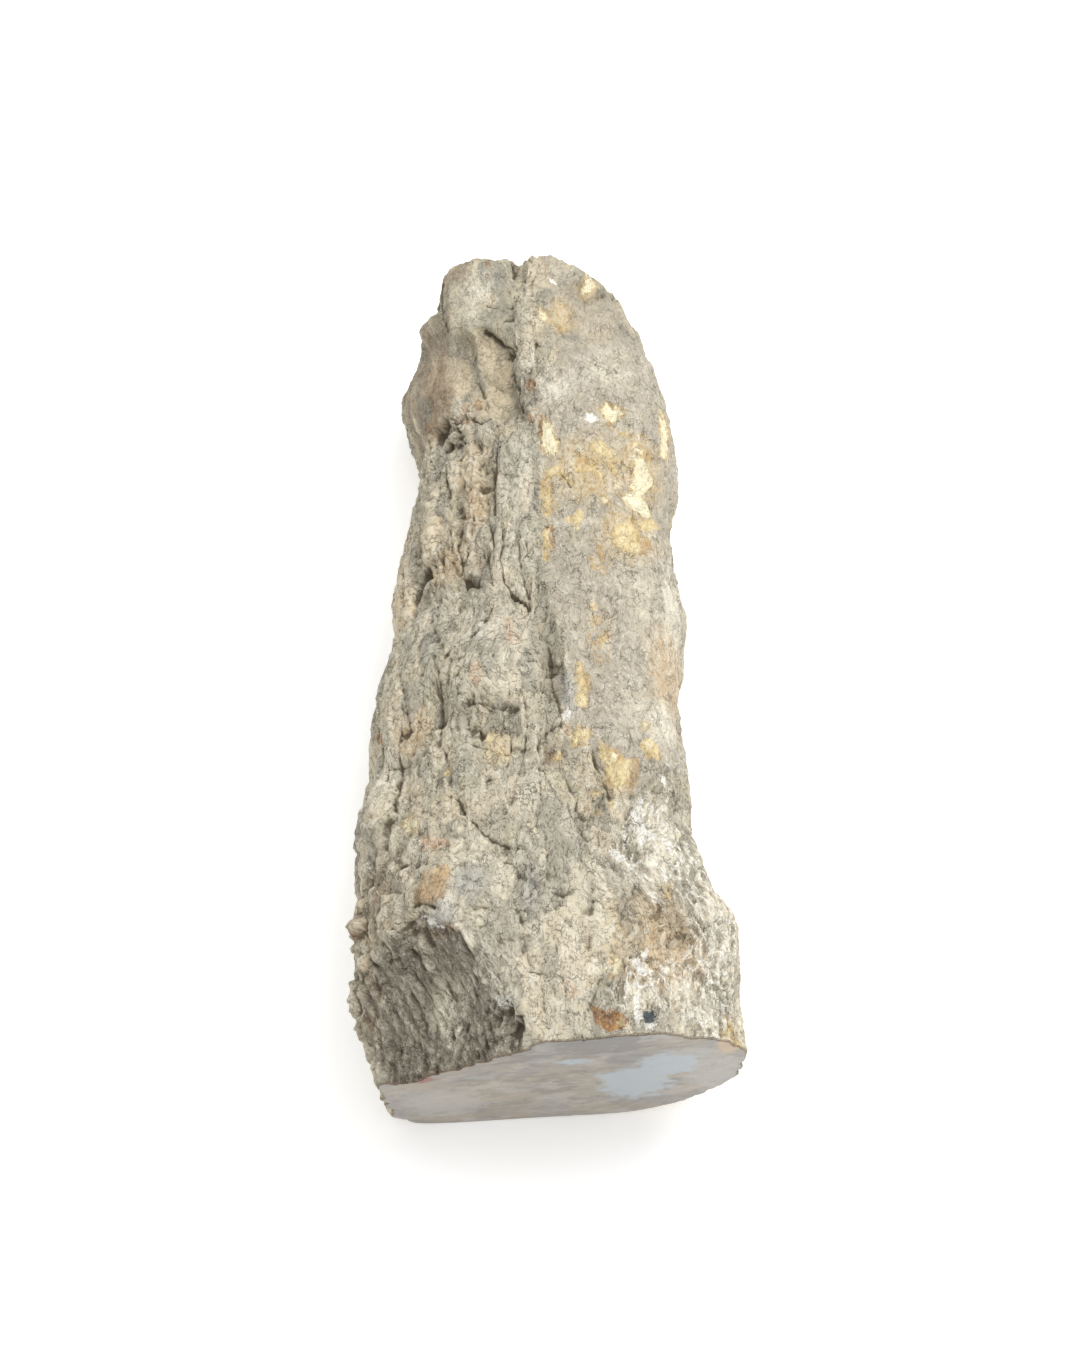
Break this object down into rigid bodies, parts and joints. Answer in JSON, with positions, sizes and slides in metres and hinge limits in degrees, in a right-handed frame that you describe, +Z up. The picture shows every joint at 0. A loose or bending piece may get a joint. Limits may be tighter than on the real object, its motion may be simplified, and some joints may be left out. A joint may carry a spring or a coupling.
{
  "type": "petrified wood",
  "caption": "Petrified log section lying on its side: rough weathered bark-like surface, one end sawn and polished flat, the other a natural break.",
  "frame": {"origin": "on the ground under the middle of the piece's bounding box, as it lies", "axes": "+Y along the grain from the sawn end to the natural break; +Z up from the side it lies on; +X to the right seen from the sawn end"},
  "size_m": [0.099, 0.2572, 0.062],
  "materials": {
    "petrified_wood": "weathered silicified wood, matte grey-olive to cream with gold and rust patches; the sawn end polished grey"
  },
  "bodies": {
    "root": {"petrified_wood": "petrified_wood"}
  },
  "joints": []
}
